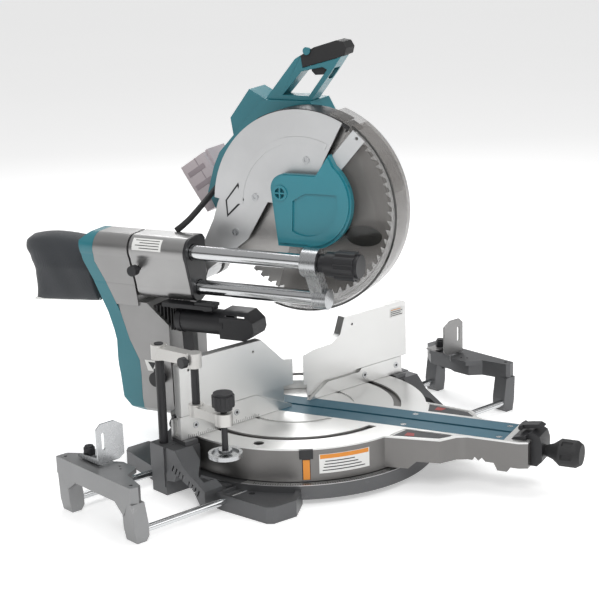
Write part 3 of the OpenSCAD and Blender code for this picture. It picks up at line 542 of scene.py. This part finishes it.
def battery_box(name, low, high, look, body):
    """A box given in the tilted frame of the battery."""
    c, s = math.cos(BATTERY_TILT), math.sin(BATTERY_TILT)
    verts = []
    for x in (low[0], high[0]):
        for y, z in ((low[1], low[2]), (high[1], low[2]), (high[1], high[2]), (low[1], high[2])):
            verts.append((BATTERY_ORIGIN[0] + x, BATTERY_ORIGIN[1] + c * y - s * z,
                          BATTERY_ORIGIN[2] + s * y + c * z))
    faces = [(0, 1, 2, 3), (7, 6, 5, 4), (0, 4, 5, 1), (1, 5, 6, 2), (2, 6, 7, 3), (3, 7, 4, 0)]
    return piece(name, verts, faces, look, body, edge=0.6)


STRAP_HALF_WIDTH = 4
STRAP_HALF_HEIGHT = 5.5
STRAP_ROUTE = ((-54, 192, 391.8), (-50, 183, 399), (-40, 173, 410), (-26, 165, 423),
               (-8, 159, 436), (14, 155, 449), (38.3, 152.5, 461))


def make_cable_strap():
    """The oval cable guard from the carriage up behind the blade case to the motor housing."""
    sides, verts, faces = 12, [], []
    points = [Vector(p) for p in STRAP_ROUTE]
    for k, point in enumerate(points):
        along = (points[min(k + 1, len(points) - 1)] - points[max(k - 1, 0)]).normalized()
        across = along.cross(Vector((0, 0, 1))).normalized()
        up = across.cross(along)
        for j in range(sides):
            a = 2 * math.pi * j / sides
            verts.append(point + across * (STRAP_HALF_WIDTH * math.cos(a))
                         + up * (STRAP_HALF_HEIGHT * math.sin(a)))
    last = sides * (len(points) - 1)
    faces.append(tuple(range(sides)))
    faces.append(tuple(last + j for j in reversed(range(sides))))
    for k in range(len(points) - 1):
        for j in range(sides):
            a, b = sides * k + j, sides * k + (j + 1) % sides
            faces.append((a, b, b + sides, a + sides))
    obj = piece("cable_strap", verts, faces, "rubber", "head", edge=0.3)
    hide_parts("cable_guard")


def make_head_trims():
    guard_strip("guard_rim_line", 168.2, 171.6, 25.0, 25.5, -107, 55, "rim", "guard")
    guard_strip("guard_inner_line", 158.5, 160, 23.0, 23.3, -107, 55, "smoky_rim", "guard")
    guard_strip("guard_rim_band", 170.1, 170.9, -34, 21.5, -107, 55, "smoky_rim", "guard")
    oval = [(-139 + 32 * math.cos(k * math.pi / 12), 400 + 17 * math.sin(k * math.pi / 12))
            for k in range(24)]
    verts, faces = prism(oval, -23.5, -23.05)
    piece("guard_port", verts, faces, "rim", "guard", smooth=False)
    # A black band laid over the top of the silver case rim: painted shade for the rim where it lies in
    # shadow.
    guard_strip("case_rim_painted_shade", 162.1, 163.2, -31.5, 17.2, 62, 118, "black", "head")
    for k in range(5):
        y = 12 + 12 * k
        half = math.sqrt(42 ** 2 - (y - 36) ** 2)
        verts, faces = prism([(y - 2.2, 532 - half), (y + 2.2, 532 - half), (y + 2.2, 532 + half),
                              (y - 2.2, 532 + half)], 163.6, 164.3)
        piece(f"motor_vent_{k}", verts, faces, "black", "head", edge=0.2)
    for k in range(4):
        z = 470 + 13 * k
        verts, faces = prism([(112, z), (146 - 3 * k, z + 4), (146 - 3 * k, z + 8), (112, z + 4)],
                             111.7, 112.3)
        piece(f"housing_vent_{k}", verts, faces, "black", "head", edge=0.2)
    for k in range(3):
        z = -32 + 26 * k
        battery_box(f"battery_rib_{k}", (-41, 14, z), (-39.8, 52, z + 9), "battery_dark", "battery")
    battery_box("battery_seam", (-40.6, 24, -46.4), (24.6, 26, 44.4), "battery_dark", "battery")


make_head_trims()
make_cable_strap()

# ---------------------------------------------------------------- dust bag

BAG_NECK = (346, 356)
BAG_CAP = 0.006
BAG_TAIL = ((0, 484), (0.25, 481), (0.5, 482), (0.66, 492), (0.8, 503), (0.9, 503), (1, 488))


def between(table, t):
    for (t0, a), (t1, b) in zip(table, table[1:]):
        if t <= t1:
            k = (t - t0) / (t1 - t0)
            k = k * k * (3 - 2 * k)
            return a + (b - a) * k
    return table[-1][1]


def bag_point(u, v, side):
    """A point of the bag: u runs from the neck to the tail, v from the lower seam to the top."""
    neck = BAG_NECK[0] + (BAG_NECK[1] - BAG_NECK[0]) * v
    y = neck + (between(BAG_TAIL, v) - neck) * u
    low = 262 - 11 * u
    high = 373 + 7 * math.sin(2.6 * u) - 5 * u ** 5
    z = low + (high - low) * v
    full = math.sqrt(max(0, 1 - (2 * v - 1) ** 6)) * (0.3 + 0.7 * min(1, v / 0.55))
    full *= math.sqrt(max(0, 1 - u ** 8))
    folds = 1.5 * math.sin(9 * v + 5 * u) * u + 1.1 * math.sin(16 * u - 4 * v) * (1 - v)
    x = -60 + 16 * v + side * (31 * full + folds * full)
    return x, y, z


def simulate(obj, cap, frames=18):
    """Settles the mesh as cloth with a little inner pressure; no point moves further than cap metres."""
    start = [v.co.copy() for v in obj.data.vertices]
    cloth = obj.modifiers.new("cloth", "CLOTH")
    cloth.settings.quality = 6
    cloth.settings.mass = 0.2
    cloth.settings.tension_stiffness = 12
    cloth.settings.bending_stiffness = 0.6
    cloth.settings.use_pressure = True
    cloth.settings.uniform_pressure_force = 3.0
    cloth.settings.effector_weights.gravity = 0.4
    scene = bpy.context.scene
    for frame_number in range(1, frames + 1):
        scene.frame_set(frame_number)
    seen = obj.evaluated_get(bpy.context.evaluated_depsgraph_get())
    moved = [v.co.copy() for v in seen.data.vertices]
    obj.modifiers.remove(cloth)
    scene.frame_set(1)
    for vertex, a, b in zip(obj.data.vertices, start, moved):
        step = b - a
        if step.length > cap:
            step *= cap / step.length
        vertex.co = a + step


def make_dust_bag():
    """The lofted bag, blown up a little as cloth, with a clip strip under it and a collar at its neck."""
    cols, rows = 30, 22
    verts, faces = [], []
    for side in (1, -1):
        for i in range(cols + 1):
            for j in range(rows + 1):
                verts.append(bag_point(i / cols, j / rows, side))
    step = rows + 1
    half = (cols + 1) * step
    for layer in (0, half):
        for i in range(cols):
            for j in range(rows):
                k = layer + i * step + j
                faces.append((k, k + step, k + step + 1, k + 1))
    for j in range(rows):
        faces.append((j, j + 1, half + j + 1, half + j))
    obj = piece("dust_bag_cloth", verts, faces, "bag", "arm", smooth=False)
    bm = bmesh.new()
    bm.from_mesh(obj.data)
    bmesh.ops.remove_doubles(bm, verts=bm.verts, dist=0.0006)
    bmesh.ops.holes_fill(bm, edges=[e for e in bm.edges if e.is_boundary], sides=400)
    bmesh.ops.recalc_face_normals(bm, faces=bm.faces)
    bm.to_mesh(obj.data)
    bm.free()
    simulate(obj, BAG_CAP)
    for face in obj.data.polygons:
        face.use_smooth = True
    sub = obj.modifiers.new("sub", "SUBSURF")
    sub.levels = 1
    sub.render_levels = 1
    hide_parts("dust_bag")
    strip = [(347, 259.5), (484, 248), (484, 252), (347, 263.5)]
    verts, faces = prism(strip, -64.5, -55.5)
    piece("dust_bag_clip", verts, faces, "white", "arm", edge=0.8)
    verts, faces = disc((-40, 320), 21.5, 351, 356, "y", 40)
    piece("dust_bag_collar", verts, faces, "black", "arm", edge=0.8)


make_labels()
make_screws()
make_fence_ticks()
make_case_badge()
make_side_marks()
make_scale_lines()
make_dust_bag()

# ---------------------------------------------------------------- stage


def studio_sky(tree):
    """A dark band round the horizon under a light ceiling, so that metal has something to mirror."""
    coord = tree.nodes.new("ShaderNodeTexCoord")
    split = tree.nodes.new("ShaderNodeSeparateXYZ")
    ramp = tree.nodes.new("ShaderNodeValToRGB")
    tree.links.new(coord.outputs["Generated"], split.inputs["Vector"])
    tree.links.new(split.outputs["Z"], ramp.inputs["Fac"])
    stops = ((0.0, 0.75), (0.06, 0.2), (0.22, 0.28), (0.36, 0.95), (1.0, 1.0))
    ends = ramp.color_ramp.elements
    while len(ends) < len(stops):
        ends.new(0.5)
    for end, (place, value) in zip(ends, stops):
        end.position = place
        end.color = (value, value, value, 1)
    background = tree.nodes["Background"]
    tree.links.new(ramp.outputs["Color"], background.inputs["Color"])
    background.inputs["Strength"].default_value = 0.5


def make_stage():
    bpy.ops.mesh.primitive_plane_add(size=30, location=(0, 3, 0))
    floor = bpy.context.object
    floor.name = "floor"
    s = Shader("pale_floor", 0.0, 0.6, Emission_Color=(1, 1, 1, 1), Emission_Strength=0.4)
    s.colour(s.mix(s.noise(0.6), (0.86, 0.86, 0.86), (0.9, 0.9, 0.9)))
    floor.data.materials.append(s.mat)
    world = bpy.data.worlds.new("studio")
    world.use_nodes = True
    studio_sky(world.node_tree)
    bpy.context.scene.world = world
    lamps = [("key", (-1.6, -1.8, 2.6), 1.4, 42), ("fill", (1.8, -2.4, 1.4), 1.6, 12),
             ("top", (0.4, 0.5, 2.8), 1.4, 26), ("rim", (1.4, 1.8, 1.6), 1.0, 14)]
    for name, place, size, power in lamps:
        light = bpy.data.lights.new(name, "AREA")
        light.size = size
        light.energy = power
        obj = bpy.data.objects.new(name, light)
        bpy.context.scene.collection.objects.link(obj)
        obj.location = place
        aim = Vector((0, 0, 0.3)) - Vector(place)
        obj.rotation_euler = aim.to_track_quat("-Z", "Y").to_euler()
    bpy.context.scene.view_settings.view_transform = "Standard"


make_stage()
